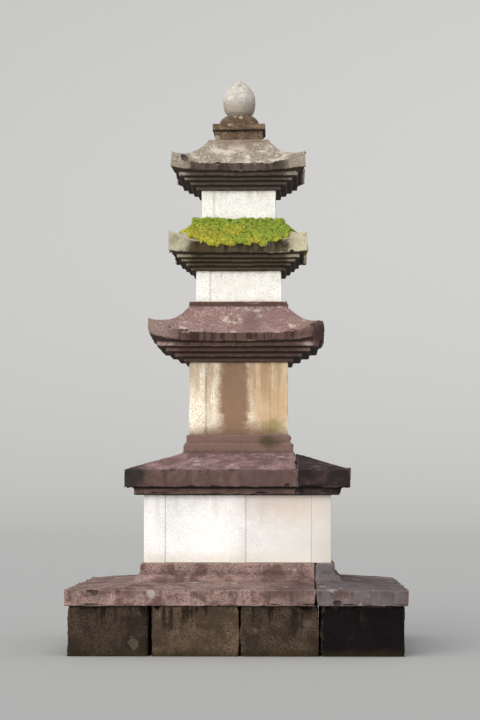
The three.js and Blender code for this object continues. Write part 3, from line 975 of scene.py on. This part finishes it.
# How much of that straying the hanging edge, the sides and the hips follow
HANG_STRAY = 0.5
SIDE_STRAY = 0.7
HIP_STRAY = 1.5

# The mat's thickness and the size of its remeshed faces, and how its hollows are found, as on the stones
MOSS_THICKNESS = 0.022
MOSS_GRAIN = 0.007
MOSS_ROUNDS = 8
MOSS_HOLLOW = 0.6

# The shoots: at how many places and how many at each, how far down a face with shoots may look, their radius
# and length, and how they lean and turn up
SHOOT_PLACES = 6500
SHOOTS_PER_PLACE = 4
SHOOT_FACING = -0.3
SHOOT_RADIUS = (0.0012, 0.002)
SHOOT_LENGTH = (0.005, 0.012)
SHOOT_LEAN = 0.5
SHOOT_RISE = 0.2


def wavering(place):
    """How far the moss's limits stray at a place, in metres."""
    wide = 0.035 * math.sin(31 * place.x + 1.3) * math.sin(27 * place.y - 2.6)
    fine = 0.016 * math.sin(83 * place.x - 1.3) * math.cos(71 * (place.y + place.z))
    return wide + fine


def is_mossy(place, normal, edge_top, top):
    """Whether moss grows at a place on the second roof: on the slopes and over the middle of the eaves."""
    out = max(abs(place.x), abs(place.y))
    along = min(abs(place.x), abs(place.y))
    stray = wavering(place)
    hanging = edge_top - MOSS_HANG + HANG_STRAY * abs(stray) + HANG_RISE * max(0.0, along - HANG_FLAT)
    if place.z < hanging or place.z > top - MOSS_TOP:
        return False
    reach = MOSS_REACH + MOSS_WIDENING * (place.z - edge_top) + SIDE_STRAY * stray
    if normal.z < MOSS_FACING or along > reach:
        return False
    return along < out + HIP_MARGIN + HIP_STRAY * stray


def spread_over(piece, count, draw):
    """Places and normals scattered evenly over the parts of a piece that don't face down."""
    places, normals, _ = read_mesh(piece.data)
    piece.data.calc_loop_triangles()
    corners = np.empty(len(piece.data.loop_triangles) * 3, np.int32)
    piece.data.loop_triangles.foreach_get("vertices", corners)
    corners = corners.reshape(-1, 3)
    a, b, c = (places[corners[:, index]] for index in range(3))
    open_side = normals[corners].mean(1)[:, 2] > SHOOT_FACING
    share = np.linalg.norm(np.cross(b - a, c - a), axis=1) * open_side
    chosen = corners[draw.choice(len(corners), count, p=share / share.sum())]
    shares = draw.dirichlet((1, 1, 1), count)[..., None]
    return (places[chosen] * shares).sum(1), (normals[chosen] * shares).sum(1)


def unit(vectors):
    return vectors / np.linalg.norm(vectors, axis=1, keepdims=True)


def one_shoot():
    """A pointed three-sided shoot, 1 high and 1 in radius, standing on the origin."""
    bpy.ops.object.select_all(action="DESELECT")
    bpy.ops.mesh.primitive_cone_add(vertices=3, radius1=1, depth=1, location=(0, 0, 0.5))
    bpy.ops.object.transform_apply()
    return bpy.context.object


def add_shoots(mat, material):
    """Short shoots all over the moss, a few at each place, that fray its outline."""
    draw = np.random.default_rng([SEED, NUMBERS["moss"]])
    shoot = one_shoot()
    pattern = read_mesh(shoot.data)[0]
    sides = [list(side.vertices) for side in shoot.data.polygons]
    feet, normals = (np.repeat(rows, SHOOTS_PER_PLACE, 0) for rows in spread_over(mat, SHOOT_PLACES, draw))
    count = len(feet)
    heading = unit(normals + draw.normal(0, SHOOT_LEAN, (count, 3)) + (0, 0, SHOOT_RISE))
    across = unit(np.cross(heading, draw.normal(size=(count, 3))))
    width = draw.uniform(*SHOOT_RADIUS, (count, 1))
    length = draw.uniform(*SHOOT_LENGTH, (count, 1))
    axes = np.stack([across * width, np.cross(heading, across) * width, heading * length], 1)
    points = feet[:, None] + pattern @ axes
    steps = range(0, count * len(pattern), len(pattern))
    faces = [[step + corner for corner in side] for step in steps for side in sides]
    mesh = bpy.data.meshes.new("moss_shoots")
    mesh.from_pydata(points.reshape(-1, 3).tolist(), [], faces)
    piece = new_object("moss_shoots", mesh)
    bpy.data.objects.remove(shoot)
    add_attribute(piece, "fresh", (draw.uniform(0.1, 0.7, (count, 1)) + 0.3 * pattern[:, 2]).ravel())
    add_attribute(piece, "hollow", 0.0)
    mesh.materials.append(material)
    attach(piece, "root")


def add_moss(roof):
    """A cushioned mat that follows the roof's slopes, cut from a copy of their surface."""
    low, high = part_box("second_roof")
    sizes = ROOFS["second_roof"]
    edge_top = low.z + sizes["corbels"] + sizes["edge"]
    piece = new_object("roof_moss", roof.data.copy())
    shape = bmesh.new()
    shape.from_mesh(piece.data)
    shape.normal_update()
    bare = [face for face in shape.faces
            if not is_mossy(face.calc_center_median(), face.normal, edge_top, high.z)]
    bmesh.ops.delete(shape, geom=bare, context="FACES")
    shape.to_mesh(piece.data)
    shape.free()
    for attribute in ("rim", "hollow", "tone", "shift"):
        piece.data.attributes.remove(piece.data.attributes[attribute])
    apply_modifier(piece, "SOLIDIFY", thickness=MOSS_THICKNESS, offset=0.75, use_rim=True)
    apply_modifier(piece, "REMESH", mode="VOXEL", voxel_size=MOSS_GRAIN)
    apply_modifier(piece, "SMOOTH", factor=0.6, iterations=5)
    for texture, strength in (("swell", 0.022), ("cushions", -0.011), ("tufts", 0.008)):
        displace(piece, texture, strength, mid_level=0.35)
    out = bulge(piece.data, MOSS_ROUNDS) / MOSS_GRAIN
    add_attribute(piece, "hollow", np.clip(-out / MOSS_HOLLOW, 0, 1))
    add_attribute(piece, "fresh", 0.3)
    piece.data.shade_smooth()
    piece.data.materials.clear()
    material = moss_finish()
    piece.data.materials.append(material)
    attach(piece, "root")
    add_shoots(piece, material)


# Studio

def floor_material():
    material = new_material("floor")
    inputs = material.node_tree.nodes["Principled BSDF"].inputs
    inputs["Base Color"].default_value = paint(178, 177, 175)
    inputs["Roughness"].default_value = 0.9
    return material


def add_floor():
    """A round floor whose rim sweeps up, so that it and the backdrop are one surface."""
    profile = [(FLOOR_RADIUS * share, 0.0) for share in (0.1, 0.4, 0.7, 1.0)]
    for step in range(1, SWEEP_STEPS + 1):
        angle = step / SWEEP_STEPS * math.pi / 2
        profile.append((FLOOR_RADIUS + SWEEP_RADIUS * math.sin(angle), SWEEP_RADIUS * (1 - math.cos(angle))))
    turns = [math.tau * side / FLOOR_SIDES for side in range(FLOOR_SIDES)]
    shape = bmesh.new()
    rings = [[shape.verts.new((radius * math.cos(turn), radius * math.sin(turn), height - FLOOR_DROP))
              for turn in turns] for radius, height in profile]
    shape.faces.new(rings[0])
    for inner, outer in zip(rings, rings[1:]):
        for side in range(FLOOR_SIDES):
            after = (side + 1) % FLOOR_SIDES
            shape.faces.new((inner[side], outer[side], outer[after], inner[after]))
    mesh = bpy.data.meshes.new("floor")
    shape.to_mesh(mesh)
    shape.free()
    mesh.shade_smooth()
    mesh.materials.append(floor_material())
    floor = new_object("floor", mesh)
    floor.visible_shadow = False


def turn_to(thing, direction):
    """Turns a camera or a light to look along a direction."""
    thing.rotation_mode = "QUATERNION"
    thing.rotation_quaternion = direction.to_track_quat("-Z", "Y")


def add_camera():
    data = bpy.data.cameras.new("camera")
    data.sensor_width = SENSOR
    data.lens = FOCAL_PX / PHOTO_HEIGHT_PX * SENSOR
    data.clip_end = 200.0
    camera = new_object("camera", data)
    camera.location = (CAMERA_ASIDE, -CAMERA_DISTANCE, EYE_HEIGHT)
    turn_to(camera, AIM - camera.location)
    bpy.context.scene.camera = camera


def add_lights():
    """An even sky and two soft suns, each with its direction, its angle in degrees and its strength."""
    world = bpy.data.worlds.new("world")
    bpy.context.scene.world = world
    world.use_nodes = True
    background = world.node_tree.nodes["Background"]
    background.inputs["Color"].default_value = (0.95, 0.97, 1.0, 1.0)
    background.inputs["Strength"].default_value = 0.55
    for name, direction, angle, strength in (
        ("sky light", Vector((0.35, 0.75, -1.6)), 80, 1.2),
        ("front light", Vector((0.45, 1.0, -0.2)), 40, 2.1),
    ):
        data = bpy.data.lights.new(name, "SUN")
        data.angle = math.radians(angle)
        data.energy = strength
        turn_to(new_object(name, data), direction)
    bpy.context.scene.view_settings.view_transform = "Standard"


add_camera()
add_floor()
add_lights()
add_course()
add_lower_cap()
add_walls()
add_upper_cap()
add_bodies()
mossy_roof = add_roofs()["second_roof"]
add_moss(mossy_roof)
add_finial()
